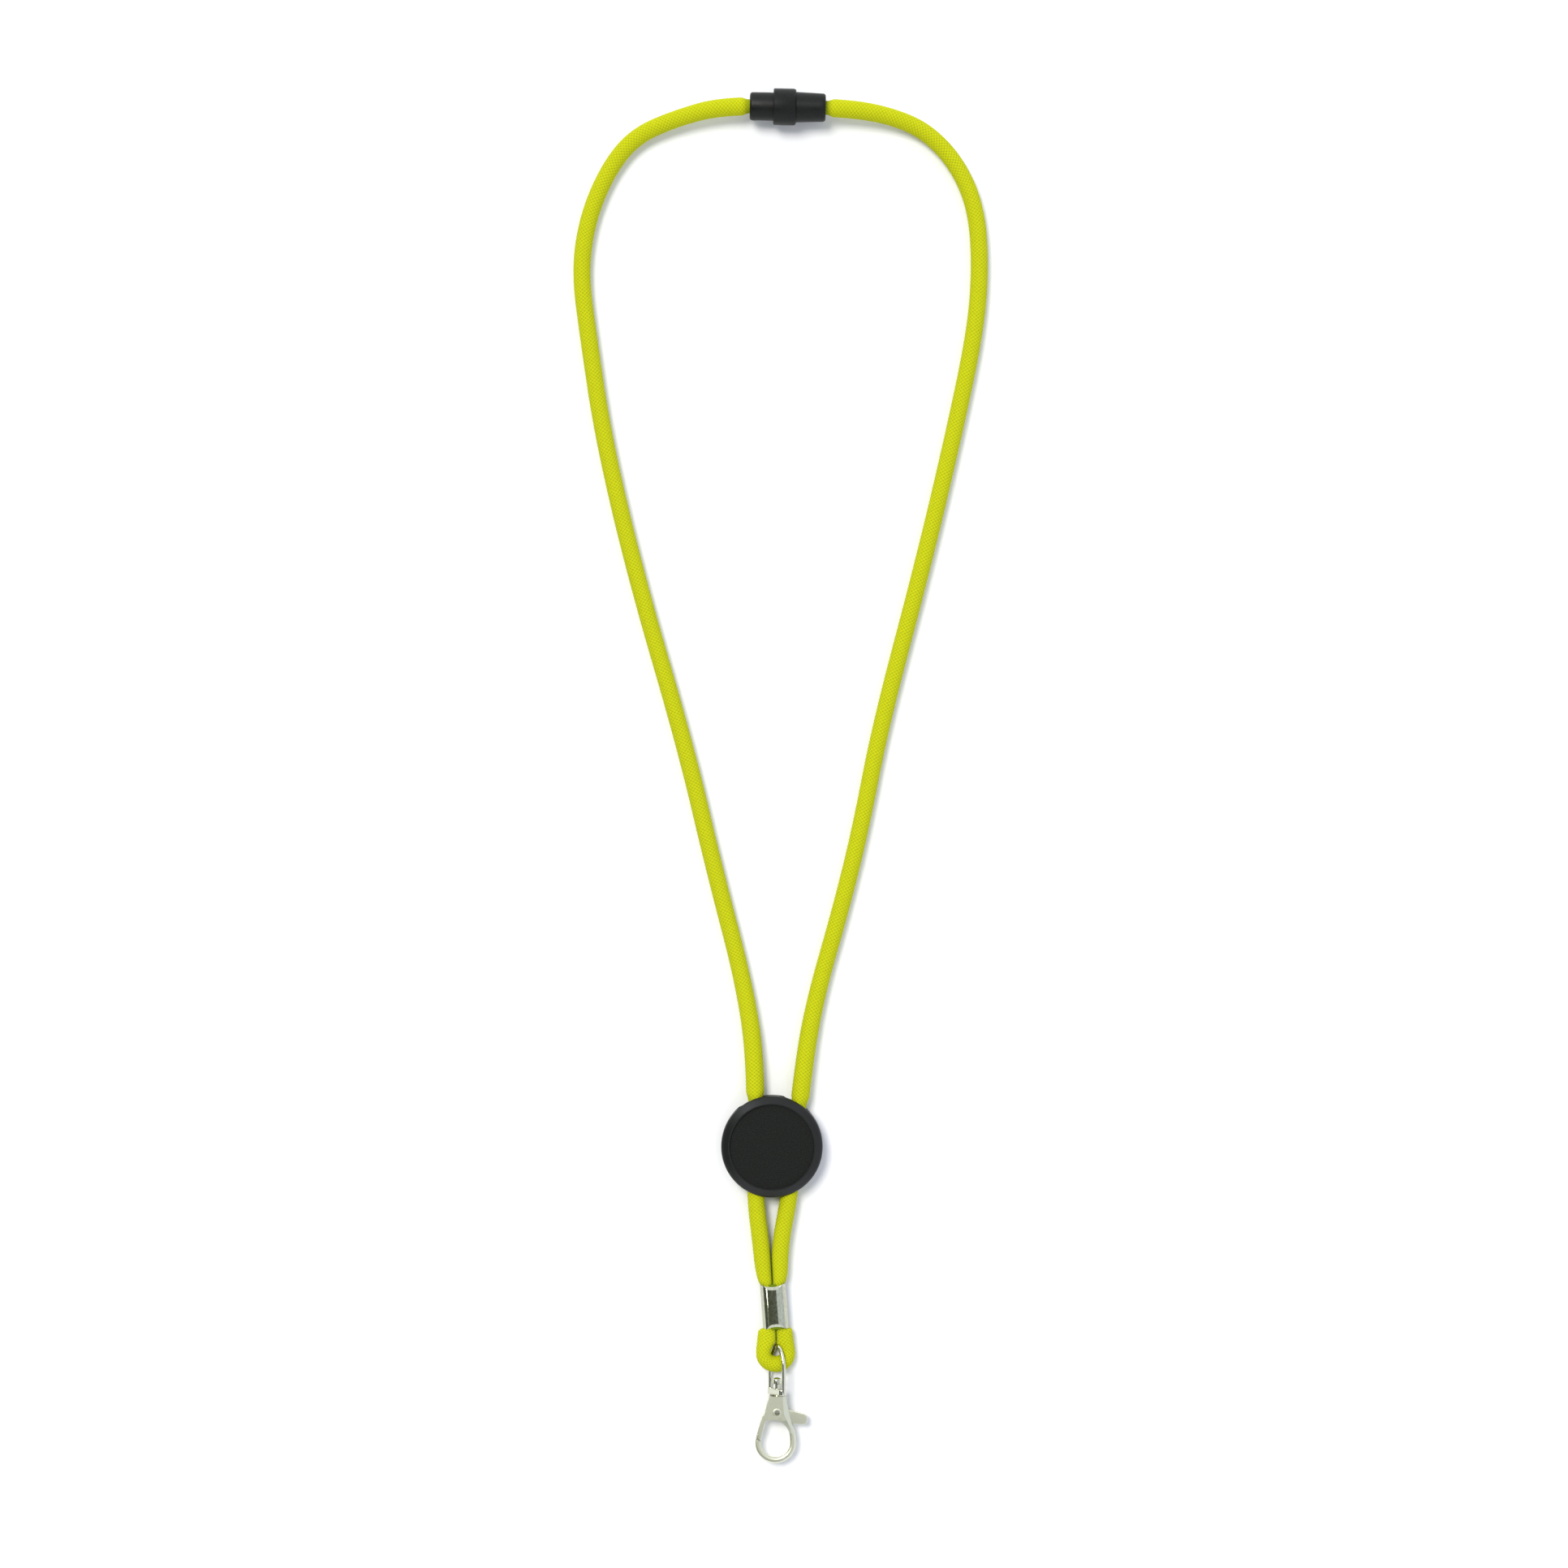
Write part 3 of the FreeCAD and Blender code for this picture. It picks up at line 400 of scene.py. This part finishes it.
# %% Camera
VIEW_WIDTH = 525.5 * MM
VIEW_CENTRE = (3.54 * MM, -2.72 * MM)
VIEW_PLANE = 4 * MM
LENS = 100.0
SENSOR = 36.0
camera = bpy.data.objects.new("camera", bpy.data.cameras.new("camera"))
bpy.context.scene.collection.objects.link(camera)
camera.data.lens = LENS
camera.data.sensor_width = SENSOR
camera.data.clip_end = 20.0
camera.location = (*VIEW_CENTRE, VIEW_WIDTH * LENS / SENSOR + VIEW_PLANE)
bpy.context.scene.camera = camera
print("camera", round(camera.location.z, 3), "m above the floor")

# %% [markdown]
# ## Routes of the cord
# One cord makes everything: it leaves the clasp's left barrel, runs down through the badge into
# the ferrule, makes the small loop that holds the yoke, and comes back up on the right. The
# parts inside the ferrule don't show. Each route is a smooth NURBS spline of order three, and its
# corners are listed in millimetres. The strands have the corners of the engineering model and
# one more inside the ferrule; the loop has its own, and starts and ends further inside.

# %% Routes
CORD_DIAMETER = 5.6 * MM
LOOP_DIAMETER = 4.9 * MM
LEFT_ROUTE = [
    (-4.40, 224.04, 6.1), (-17.0, 224.3, 6.1), (-33.0, 220.2, 4.5), (-46.5, 214.4, 3.2),
    (-55.3, 203.6, 2.8), (-62.2, 187.5, 2.8), (-64.9, 169.5, 2.8), (-62.2, 148.0, 2.8),
    (-57.0, 113.0, 2.8), (-45.9, 66.0, 2.8), (-29.4, 9.5, 2.8), (-19.8, -31.5, 2.8),
    (-9.6, -70.5, 2.8), (-5.8, -97.0, 3.9), (-6.4, -139.5, 3.9), (-3.8, -159.5, 3.6),
    (-3.15, -170.35, 3.5), (-2.2, -173.6, 3.5),
]
RIGHT_ROUTE = [
    (14.00, 223.66, 6.1), (26.2, 223.4, 6.1), (41.5, 220.5, 4.4), (52.5, 215.2, 3.2),
    (62.0, 204.6, 2.8), (67.9, 190.5, 2.8), (69.4, 172.0, 2.8), (67.9, 150.0, 2.8),
    (60.6, 115.0, 2.8), (50.2, 71.0, 2.8), (35.9, 17.0, 2.8), (29.2, -18.0, 2.8),
    (22.5, -45.0, 2.8), (13.9, -75.0, 2.8), (9.8, -99.0, 3.9), (5.7, -139.0, 3.9),
    (2.0, -158.0, 3.6), (2.5, -169.95, 3.5), (2.1, -173.3, 3.5),
]
LOOP_ROUTE = [
    (-1.9, -183.0, 3.7), (-2.1, -185.6, 3.8), (-2.55, -188.3, 4.0), (-3.35, -191.8, 4.6),
    (-3.25, -195.2, 4.72), (-0.75, -197.3, 4.0), (2.45, -197.4, 3.2), (4.75, -195.3, 2.55),
    (4.75, -192.0, 2.55), (3.75, -188.2, 3.0), (3.38, -185.25, 3.2), (2.9, -182.6, 3.3),
]


def spline_of(name, route):
    """A curve object with one open NURBS spline through the route's control points."""
    curve = bpy.data.curves.new(name, "CURVE")
    curve.dimensions = "3D"
    curve.resolution_u = 24
    spline = curve.splines.new("NURBS")
    spline.points.add(len(route) - 1)
    for point, place in zip(spline.points, route):
        point.co = (*[value * MM for value in place], 1.0)
    spline.order_u = 3
    spline.use_endpoint_u = True
    made = bpy.data.objects.new(name, curve)
    bpy.context.scene.collection.objects.link(made)
    return made


def line_of(curve_object):
    """The points along a curve, in metres."""
    mesh = bpy.data.meshes.new_from_object(curve_object)
    points = np.array([v.co for v in mesh.vertices])
    bpy.data.meshes.remove(mesh)
    return points


# %% [markdown]
# ## Plaiting the cord
# A braid repeats without end along a path, which is what Geometry Nodes are for. The tree walks
# along the spline in short steps, sweeps a circle, and remembers for every point how far along
# and how far round it is. The braid's rule then lifts each point by the height of the yarn that
# lies on top there. The result is a plain mesh with real relief, so the cord's edge is knobbly
# as a real braid's is.

# %% Braid tree
RING_SPACING = 0.3 * MM
SIDES = 60
RELIEF = 0.28 * MM
SUNK = 0.6


def braid_tree():
    """Sweeps a tube along a curve and raises the yarns on it."""
    tree = bpy.data.node_groups.new("braided cord", "GeometryNodeTree")
    wanted = [("Geometry", "Geometry"), ("Diameter", "Float"), ("Ring Spacing", "Float"),
              ("Sides", "Int"), ("Yarns Each Way", "Int"), ("Lay", "Float"), ("Relief", "Float"),
              ("Material", "Material")]
    for name, kind in wanted:
        tree.interface.new_socket(name, in_out="INPUT", socket_type="NodeSocket" + kind)
    tree.interface.new_socket("Geometry", in_out="OUTPUT", socket_type="NodeSocketGeometry")
    given = add(tree, "NodeGroupInput").outputs
    steps = add(tree, "GeometryNodeResampleCurve",
                {"Curve": given["Geometry"], "Length": given["Ring Spacing"]},
                mode="LENGTH").outputs[0]
    upright = add(tree, "GeometryNodeSetCurveNormal", {0: steps}, mode="Z_UP").outputs[0]

    def remember(geometry, name, value, kind):
        inputs = {"Geometry": geometry, "Name": name, "Value": value}
        return add(tree, "GeometryNodeStoreNamedAttribute", inputs, data_type=kind).outputs[0]

    def recall(name, kind):
        inputs = {"Name": name}
        return add(tree, "GeometryNodeInputNamedAttribute", inputs, data_type=kind).outputs[0]

    position = add(tree, "GeometryNodeInputPosition").outputs[0]
    measured = add(tree, "GeometryNodeSplineParameter")
    path = remember(upright, "centre", position, "FLOAT_VECTOR")
    path = remember(path, "along", measured.outputs["Length"], "FLOAT")
    sunk = calc(tree, "MULTIPLY", given["Relief"], SUNK)
    radius = calc(tree, "SUBTRACT", calc(tree, "MULTIPLY", given["Diameter"], 0.5), sunk)
    ring = add(tree, "GeometryNodeCurvePrimitiveCircle",
               {"Resolution": given["Sides"], "Radius": radius}).outputs[0]
    ring = remember(ring, "around", measured.outputs["Factor"], "FLOAT")
    tube = add(tree, "GeometryNodeCurveToMesh", {0: path, 1: ring, "Fill Caps": True}).outputs[0]
    turns = calc(tree, "DIVIDE", recall("along", "FLOAT"), given["Lay"])
    around = recall("around", "FLOAT")
    a = calc(tree, "MULTIPLY", calc(tree, "ADD", around, turns), given["Yarns Each Way"])
    b = calc(tree, "MULTIPLY", calc(tree, "SUBTRACT", around, turns), given["Yarns Each Way"])
    height, _ = braid(tree, a, b)
    outward = add(tree, "ShaderNodeVectorMath", {0: position, 1: recall("centre", "FLOAT_VECTOR")},
                  operation="SUBTRACT").outputs[0]
    outward = add(tree, "ShaderNodeVectorMath", {0: outward}, operation="NORMALIZE").outputs[0]
    raised = calc(tree, "MULTIPLY", height, given["Relief"])
    lift = add(tree, "ShaderNodeVectorMath", {0: outward, "Scale": raised},
               operation="SCALE").outputs[0]
    shaped = add(tree, "GeometryNodeSetPosition", {"Geometry": tube, "Offset": lift}).outputs[0]
    smooth = add(tree, "GeometryNodeSetShadeSmooth", {0: shaped}).outputs[0]
    real = add(tree, "GeometryNodeRealizeInstances", {0: smooth}).outputs[0]
    painted = add(tree, "GeometryNodeSetMaterial",
                  {"Geometry": real, "Material": given["Material"]}).outputs[0]
    add(tree, "NodeGroupOutput", {0: painted})
    return tree


BRAIDED_CORD = braid_tree()


def plait(name, route, diameter):
    """A braided cord as a plain mesh at the origin, and the line that it follows."""
    curve = spline_of(name + "_line", route)
    line = line_of(curve)
    modifier = curve.modifiers.new("braid", "NODES")
    modifier.node_group = BRAIDED_CORD
    sizes = {"Diameter": diameter, "Ring Spacing": RING_SPACING, "Sides": SIDES,
             "Yarns Each Way": YARNS_EACH_WAY, "Lay": BRAID_LAY, "Relief": RELIEF,
             "Material": BRAID}
    for socket, value in sizes.items():
        set_input(modifier, socket, value)
    graph = bpy.context.evaluated_depsgraph_get()
    mesh = bpy.data.meshes.new_from_object(curve.evaluated_get(graph), depsgraph=graph,
                                           preserve_all_data_layers=True)
    mesh.name = name
    bpy.data.objects.remove(curve)
    piece = bpy.data.objects.new(name, mesh)
    bpy.context.scene.collection.objects.link(piece)
    print(name, "rings and sides:", len(mesh.vertices), "points,", len(mesh.polygons), "faces")
    return piece, line


# %% [markdown]
# ## UV map of the braid
# The two counts `a` and `b` become the cord's UV map. The last strip of faces closes the ring,
# and there the count round the cord jumps from its end back to zero. Adding one turn to the
# small side of those faces keeps the yarns unbroken.


# %% Reading and writing a cord's points
def read(mesh, name, width=1):
    """A named point attribute as an array."""
    values = np.zeros(len(mesh.vertices) * width)
    mesh.attributes[name].data.foreach_get("vector" if width == 3 else "value", values)
    return values.reshape(-1, width) if width > 1 else values


def points_of(mesh):
    """Where the mesh's points are, one row each."""
    points = np.zeros(len(mesh.vertices) * 3)
    mesh.vertices.foreach_get("co", points)
    return points.reshape(-1, 3)


def map_braid(mesh):
    """Writes the braid's UV map from how far along and round each corner is."""
    corner = np.zeros(len(mesh.loops), int)
    mesh.loops.foreach_get("vertex_index", corner)
    start = np.zeros(len(mesh.polygons), int)
    mesh.polygons.foreach_get("loop_start", start)
    face = np.zeros(len(mesh.loops), int)
    face[start[1:]] = 1
    face = np.cumsum(face)
    turn = read(mesh, "along")[corner] / BRAID_LAY
    around = read(mesh, "around")[corner]
    top = np.zeros(len(mesh.polygons))
    np.maximum.at(top, face, around)
    sides = np.bincount(face, minlength=len(mesh.polygons))
    closes = (top[face] - around > 0.5) & (sides[face] == 4)
    around = around + closes
    layer = mesh.uv_layers.new(name="Braid")
    both = np.stack([around + turn, around - turn], axis=1) * YARNS_EACH_WAY
    layer.data.foreach_set("uv", both.astype(np.float32).ravel())


# %% [markdown]
# ## Where the cord is squeezed
# The braid is soft. It narrows with round shoulders where it enters the badge's channels and
# the clasp's barrels, and the two strands flatten against each other above the ferrule, then
# crowd into its mouth. Each rule moves the points of a cord sideways from its centreline, and
# marks how much painted shade falls there, at the mouths and where the strands touch, which
# the material turns into a deeper green.

#
# The profiles give the width of both strands together, and the loop rules how many times wider
# than its plain tube the cord is towards the eye and away from it. Their first number is the
# height on the lanyard. Both are in millimetres, and values between two rows are blended.

# %% Squeezing rules
NECK_START, NECK_END = -158.5 * MM, -170.2 * MM
NECK_X = (-0.95 * MM, -0.33 * MM)
NECK_PROFILE = [
    (-175.0, 6.8), (-171.2, 6.8), (-170.5, 7.2), (-169.9, 8.3), (-169.0, 9.3),
    (-167.6, 10.1), (-165.0, 10.9), (-161.0, 11.6), (-157.0, 13.0),
]
THROAT_Y = (-185.3, -188.8)
THROAT_X = (0.83 * MM, 0.95 * MM)
THROAT_PROFILE = [
    (-190.5, 13.4), (-187.4, 12.6), (-186.8, 11.8), (-186.2, 10.6),
    (-185.7, 9.0), (-185.3, 7.5), (-184.6, 6.8), (-180.0, 6.6),
]
THROAT_REACH = -190.0 * MM
CONTACT_GAP = 0.05 * MM
CONTACT_START, CONTACT_SPREAD = 0.7 * MM, 0.8 * MM
LOOP_CENTRE = (0.85 * MM, -192.8 * MM)
LOOP_SHOULDER = -188.0 * MM
LOOP_INSIDE = [
    (-197.4, 1.18), (-195.5, 1.06), (-193.5, 1.0), (-191.6, 1.06),
    (-190.4, 1.2), (-189.4, 1.42), (-185.0, 1.45),
]
LOOP_OUTSIDE = [(-197.4, 1.0), (-191.0, 1.0), (-188.5, 1.12), (-185.0, 1.18)]
# The second number on each of these two lines is the strength of the painted shade there.
CHANNEL_NARROWING, CHANNEL_SHADE = 0.16, 0.18
BARREL_NARROWING, BARREL_SHADE = 0.24, 0.45
PLUMP_AT_CLASP, PLUMP_AT_BADGE = 0.06, 0.07


def ease(value, start, end):
    """0 before start, 1 after end, smooth between."""
    t = np.clip((value - start) / (end - start), 0, 1)
    return t * t * (3 - 2 * t)


def from_rule(rule, y, unit=1.0):
    """A rule's value at each y, in that unit."""
    return np.interp(y, [row[0] * MM for row in rule], [row[1] * unit for row in rule])


def side_by_side(centre, offset, middle, profile, side, radius):
    """Presses one of two neighbouring strands against the line between them."""
    half = from_rule(profile, centre[:, 1], MM / 2)
    reach = (centre[:, 0] - middle) * side + radius
    shrink = np.minimum(1, half / np.maximum(reach, 0.1 * MM))
    x = centre[:, 0] + offset[:, 0]
    x = middle + (x - middle) * shrink
    away = (x - middle) * side
    touching = np.maximum(away, CONTACT_GAP)
    # Painted shade along the line where the two strands touch.
    painted_shade_amount = ease(CONTACT_START - away, 0, CONTACT_SPREAD)
    return middle + touching * side, painted_shade_amount, shrink


def write_points(mesh, points, painted_shade):
    """Moves the mesh's points and stores how much painted shade each one gets."""
    mesh.vertices.foreach_set("co", points.astype(np.float32).ravel())
    mark = mesh.attributes.new("painted_shade", "FLOAT", "POINT")
    mark.data.foreach_set("value", np.clip(painted_shade, 0, 1).astype(np.float32))
    mesh.update()


def squeeze_strand(mesh, side, channel_y):
    """A main strand: side is -1 for the left one and 1 for the right one."""
    centre = read(mesh, "centre", 3)
    offset = points_of(mesh) - centre
    y = centre[:, 1]
    entering = ease(y, channel_y + 3.2 * MM, channel_y - 0.3 * MM)
    leaving = ease(y, channel_y - 4 * MM, channel_y - 12 * MM)
    offset[:, 0] *= 1 - CHANNEL_NARROWING * entering * (1 - leaving)
    # Painted shade where the cord goes into the badge's channel.
    channel_mouth_shade = ease(y, channel_y + 2.4 * MM, channel_y - 0.2 * MM) * (1 - leaving)
    painted_shade = CHANNEL_SHADE * channel_mouth_shade
    along = read(mesh, "along")
    mouth = 1 - ease(along, 4.0 * MM, 6.4 * MM)
    plump = (PLUMP_AT_CLASP * (1 - ease(along, 10 * MM, 30 * MM))
             + PLUMP_AT_BADGE * ease(-y, 60 * MM, 100 * MM) * (1 - entering))
    offset *= (1 + plump - BARREL_NARROWING * mouth)[:, None]
    # Painted shade where the cord goes into the clasp's barrel.
    painted_shade = np.maximum(painted_shade, BARREL_SHADE * (1 - ease(along, 4.0 * MM, 5.6 * MM)))
    points = centre + offset
    near = y < NECK_START + 3 * MM
    middle = np.interp(-y, [-NECK_START, -NECK_END], NECK_X)
    moved, painted_shade_amount, shrink = side_by_side(centre, offset, middle, NECK_PROFILE, side,
                                          CORD_DIAMETER / 2)
    points[near, 0] = moved[near]
    # Painted shade where the strands touch and where they crowd into the ferrule.
    touch = painted_shade_amount * ease(-y, -NECK_START - 1.5 * MM, -NECK_START + 1 * MM)
    painted_shade = np.maximum(painted_shade, np.where(near, np.maximum(0.9 * touch, 1.6 * (0.86 - shrink)), 0))
    write_points(mesh, points, painted_shade)


def squeeze_loop(mesh):
    """The small loop: both of its sides crowd into the ferrule's lower mouth."""
    centre = read(mesh, "centre", 3)
    y = centre[:, 1]
    points = points_of(mesh)
    painted_shade = np.zeros(len(points))
    offset = points - centre
    eye = np.stack([np.full(len(y), LOOP_CENTRE[0]), np.clip(y, LOOP_CENTRE[1], LOOP_SHOULDER)],
                   axis=1)
    outward = centre[:, :2] - eye
    outward /= np.linalg.norm(outward, axis=1)[:, None]
    out = (offset[:, :2] * outward).sum(1)
    wide = np.where(out < 0, from_rule(LOOP_INSIDE, y), from_rule(LOOP_OUTSIDE, y))
    points[:, :2] += outward * (out * (wide - 1))[:, None]
    along = read(mesh, "along")
    half_way = along.max() / 2
    middle = np.interp(-y, [-v * MM for v in THROAT_Y], THROAT_X)
    for side, mine in ((-1, along < half_way), (1, along >= half_way)):
        moved, painted_shade_amount, shrink = side_by_side(centre, points - centre, middle, THROAT_PROFILE,
                                              side, LOOP_DIAMETER / 2)
        near = mine & (y > THROAT_REACH)
        points[near, 0] = moved[near]
        # Painted shade where the loop's sides touch and crowd into the ferrule.
        touch = painted_shade_amount * ease(y, -189.4 * MM, -188.2 * MM)
        painted_shade[near] = np.maximum(0.9 * touch, 1.4 * (0.9 - shrink))[near]
    write_points(mesh, points, painted_shade)


# %% [markdown]
# ## The three visible cords
# Each strand stands for the plain tube of the engineering model, which is hidden. The right
# strand rides on the cord's body.

# %% Plait, squeeze and place
LEFT_CHANNEL_Y, RIGHT_CHANNEL_Y = -108.6 * MM, -110.2 * MM
left, left_line = plait("braided_left_strand", LEFT_ROUTE, CORD_DIAMETER)
right, right_line = plait("braided_right_strand", RIGHT_ROUTE, CORD_DIAMETER)
loop, loop_line = plait("braided_hook_loop", LOOP_ROUTE, LOOP_DIAMETER)
squeeze_strand(left.data, -1, LEFT_CHANNEL_Y)
squeeze_strand(right.data, 1, RIGHT_CHANNEL_Y)
squeeze_loop(loop.data)
for piece in (left, right, loop):
    map_braid(piece.data)

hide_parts("cord_left_strand")
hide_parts("cord_right_strand")
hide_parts("cord_hook_loop")
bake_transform(left)
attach(right, "neck_cord")
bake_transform(loop)


def length_of(line):
    """How long a row of points is, in metres."""
    return float(np.linalg.norm(np.diff(line, axis=0), axis=1).sum())


for piece, line, diameter in ((left, left_line, CORD_DIAMETER), (right, right_line, CORD_DIAMETER),
                              (loop, loop_line, LOOP_DIAMETER)):
    print(piece.name, "length", round(length_of(line) * 1000, 1), "mm")

# The crimped cord inside the ferrule gets the painted shade.
dress("cord_crimped_section", CRIMPED_BRAID_IN_SHADE)

# %% [markdown]
# ## Floor and light
# The lanyard lies on white card in a dim room. A broad pale panel fills the right side, a
# narrow one stands on the left, and there is a white one beyond each end. Polished metal is
# known by what it mirrors: the gaps between the panels are the dark bands down the ferrule and
# the wire, and a low window at the upper left catches the rim of the badge. One broad lamp at
# the upper left gives each piece a soft shadow to its lower right. The right panel and the ones
# beyond the ends are a little blue, which tints the shadows. The panels run from -1, far left,
# to 1, far right.

# %% Floor, lamp and room
FLOOR_SIDE = 14.0
FLOOR_DROP = 0.1 * MM
KEY_STRENGTH = 2.55
KEY_ANGLE = math.radians(25)
KEY_FROM = Vector((-0.35, 0.37, 1.0))
KEY_TINT = (1.0, 0.985, 0.96)
ROOM_STRENGTH = 1.38
DIM, LEFT_GLOW, RIGHT_GLOW, END_GLOW = "50544C", "A2A69A", "CDD2DF", "F2F5FF"
PANELS = [
    (-1.0, DIM), (-0.80, DIM), (-0.77, LEFT_GLOW), (-0.66, LEFT_GLOW), (-0.62, DIM),
    (0.04, DIM), (0.12, RIGHT_GLOW), (1.0, RIGHT_GLOW),
]
END_PANEL = (0.62, 0.72)
WINDOW = Vector((-0.62, 0.70, 0.36)).normalized()
WINDOW_EDGE = (0.93, 0.97)
WINDOW_STRENGTH = 4.0

floor_mesh = bpy.data.meshes.new("floor")
side = FLOOR_SIDE / 2
corners = [(x * side, y * side, -FLOOR_DROP) for x, y in ((-1, -1), (1, -1), (1, 1), (-1, 1))]
floor_mesh.from_pydata(corners, [], [(0, 1, 2, 3)])
floor = bpy.data.objects.new("floor", floor_mesh)
bpy.context.scene.collection.objects.link(floor)
card, tree = new_material("white card")
finish_surface(tree, Base_Color=colour("EDEDED"), Roughness=0.9, Specular_IOR_Level=0.1)
floor_mesh.materials.append(card)

key = bpy.data.objects.new("key lamp", bpy.data.lights.new("key lamp", "SUN"))
key.data.energy = KEY_STRENGTH
key.data.angle = KEY_ANGLE
key.data.color = KEY_TINT
key.rotation_mode = "QUATERNION"
key.rotation_quaternion = KEY_FROM.to_track_quat("Z", "Y")
bpy.context.scene.collection.objects.link(key)

room = bpy.data.worlds.new("room")
bpy.context.scene.world = room
room.use_nodes = True
room.node_tree.nodes.clear()
tree = room.node_tree
toward = add(tree, "ShaderNodeTexCoord").outputs["Generated"]
split = add(tree, "ShaderNodeSeparateXYZ", {0: toward})
across = calc(tree, "MULTIPLY_ADD", split.outputs["X"], 0.5, 0.5)
panels = add(tree, "ShaderNodeValToRGB", {"Fac": across})
stops = panels.color_ramp.elements
while len(stops) < len(PANELS):
    stops.new(0.5)
for stop, (x, code) in zip(stops, PANELS):
    stop.position = (x + 1) / 2
    stop.color = colour(code)
at_end = stretch(tree, calc(tree, "ABSOLUTE", split.outputs["Y"]), *END_PANEL)
window = add(tree, "ShaderNodeVectorMath", {0: toward, 1: WINDOW}, operation="DOT_PRODUCT")
glare = stretch(tree, window.outputs["Value"], *WINDOW_EDGE, ROOM_STRENGTH, WINDOW_STRENGTH)
seen = mix(tree, at_end, panels.outputs[0], colour(END_GLOW))
sky = add(tree, "ShaderNodeBackground", {"Color": seen, "Strength": glare})
add(tree, "ShaderNodeOutputWorld", {"Surface": sky.outputs[0]})
bpy.context.scene.view_settings.view_transform = "Standard"
